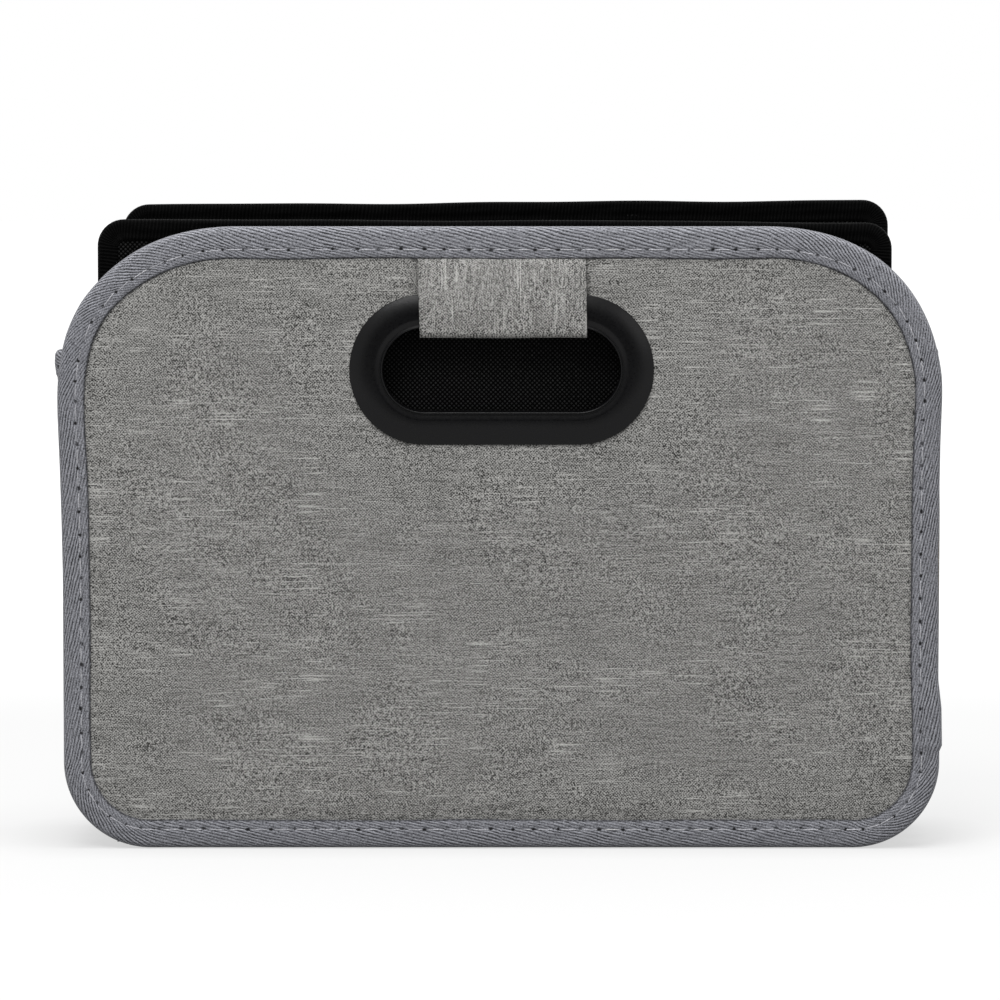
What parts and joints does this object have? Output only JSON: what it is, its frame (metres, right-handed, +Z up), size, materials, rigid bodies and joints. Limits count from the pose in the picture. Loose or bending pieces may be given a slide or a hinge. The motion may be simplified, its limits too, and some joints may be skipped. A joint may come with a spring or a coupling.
{
  "type": "collapsible car trunk organizer",
  "caption": "Folded fabric box for a vehicle's load space, with stiff end panels, hand holes, folding side walls, a divider and floor flaps.",
  "frame": {"origin": "middle of the footprint at the lowest point of the end panels' binding", "axes": "+X to the right as the front end panel is seen, -Y out of the front end panel's face, +Z up towards the hand holes"},
  "size_m": [0.3338, 0.0712, 0.2437],
  "materials": {
    "grey_cloth": "heather grey woven polyester",
    "grey_tape": "twill binding tape",
    "black_cloth": "black woven polyester",
    "black_tape": "black twill binding tape",
    "black_plastic": "satin moulded plastic",
    "board": "plain fibreboard stiffener, hidden"
  },
  "bodies": {
    "front_end": {"front_face_cloth": "grey_cloth", "front_board": "board", "front_lining": "black_cloth", "front_edge_binding": "grey_tape", "front_handle_ring": "black_plastic", "front_handle_back_ring": "black_plastic", "front_grip_wrap": "grey_cloth", "front_floor_board": "board", "front_floor_upper_cloth": "black_cloth", "front_floor_under_cloth": "black_cloth", "front_floor_binding": "black_tape", "front_floor_hinge": "black_cloth", "front_left_corner_cloth": "grey_cloth", "front_right_corner_cloth": "grey_cloth"},
    "rear_end": {"rear_face_cloth": "grey_cloth", "rear_board": "board", "rear_lining": "black_cloth", "rear_edge_binding": "grey_tape", "rear_handle_ring": "black_plastic", "rear_handle_back_ring": "black_plastic", "rear_grip_wrap": "grey_cloth", "rear_floor_board": "board", "rear_floor_upper_cloth": "black_cloth", "rear_floor_under_cloth": "black_cloth", "rear_floor_binding": "black_tape", "rear_floor_hinge": "black_cloth", "rear_left_corner_cloth": "grey_cloth", "rear_right_corner_cloth": "grey_cloth"},
    "left_wall_1": {"left_wall_1_board": "board", "left_wall_1_cloth": "grey_cloth", "left_wall_1_binding": "grey_tape"},
    "left_wall_2": {"left_wall_2_board": "board", "left_wall_2_cloth": "grey_cloth", "left_wall_2_binding": "grey_tape"},
    "left_wall_3": {"left_wall_3_board": "board", "left_wall_3_cloth": "grey_cloth", "left_wall_3_binding": "grey_tape"},
    "left_wall_4": {"left_wall_4_board": "board", "left_wall_4_cloth": "grey_cloth", "left_wall_4_binding": "grey_tape"},
    "right_wall_1": {"right_wall_1_board": "board", "right_wall_1_cloth": "grey_cloth", "right_wall_1_binding": "grey_tape"},
    "right_wall_2": {"right_wall_2_board": "board", "right_wall_2_cloth": "grey_cloth", "right_wall_2_binding": "grey_tape"},
    "right_wall_3": {"right_wall_3_board": "board", "right_wall_3_cloth": "grey_cloth", "right_wall_3_binding": "grey_tape"},
    "right_wall_4": {"right_wall_4_board": "board", "right_wall_4_cloth": "grey_cloth", "right_wall_4_binding": "grey_tape"},
    "divider": {"divider_board": "board", "divider_front_cloth": "black_cloth", "divider_rear_cloth": "black_cloth", "divider_binding": "black_tape", "divider_left_seam": "grey_cloth", "divider_right_seam": "grey_cloth"}
  },
  "joints": [
    {"name": "front_compartment", "type": "hinge", "parent": "divider", "child": "right_wall_2", "pos_m": [0.157, 0, 0], "axis": [0, 0, 1], "range_deg": [0, 90]},
    {"name": "right_front_crease", "type": "hinge", "parent": "right_wall_2", "child": "right_wall_1", "pos_m": [0.037, -0.01, 0], "axis": [0, 0, -1], "range_deg": [0, 180]},
    {"name": "front_right_corner", "type": "hinge", "parent": "right_wall_1", "child": "front_end", "pos_m": [0.157, -0.02, 0], "axis": [0, 0, 1], "range_deg": [0, 90]},
    {"name": "front_left_corner", "type": "hinge", "parent": "front_end", "child": "left_wall_1", "pos_m": [-0.157, -0.02, 0], "axis": [0, 0, 1], "range_deg": [0, 90]},
    {"name": "left_front_fold", "type": "hinge", "parent": "divider", "child": "left_wall_2", "pos_m": [-0.157, 0, 0], "axis": [0, 0, -1], "range_deg": [0, 90]},
    {"name": "rear_compartment", "type": "hinge", "parent": "divider", "child": "left_wall_3", "pos_m": [-0.157, 0, 0], "axis": [0, 0, 1], "range_deg": [0, 90]},
    {"name": "left_rear_crease", "type": "hinge", "parent": "left_wall_3", "child": "left_wall_4", "pos_m": [-0.037, 0.01, 0], "axis": [0, 0, -1], "range_deg": [0, 180]},
    {"name": "rear_left_corner", "type": "hinge", "parent": "left_wall_4", "child": "rear_end", "pos_m": [-0.157, 0.02, 0], "axis": [0, 0, 1], "range_deg": [0, 90]},
    {"name": "rear_right_corner", "type": "hinge", "parent": "rear_end", "child": "right_wall_4", "pos_m": [0.157, 0.02, 0], "axis": [0, 0, 1], "range_deg": [0, 90]},
    {"name": "right_rear_fold", "type": "hinge", "parent": "divider", "child": "right_wall_3", "pos_m": [0.157, 0, 0], "axis": [0, 0, -1], "range_deg": [0, 90]}
  ],
  "couplings": [
    {"joint": "right_front_crease", "follows": "front_compartment", "ratio": 2},
    {"joint": "front_right_corner", "follows": "front_compartment", "ratio": 1},
    {"joint": "left_front_fold", "follows": "front_compartment", "ratio": 1},
    {"joint": "front_left_corner", "follows": "front_compartment", "ratio": 1},
    {"joint": "left_rear_crease", "follows": "rear_compartment", "ratio": 2},
    {"joint": "rear_left_corner", "follows": "rear_compartment", "ratio": 1},
    {"joint": "right_rear_fold", "follows": "rear_compartment", "ratio": 1},
    {"joint": "rear_right_corner", "follows": "rear_compartment", "ratio": 1}
  ]
}
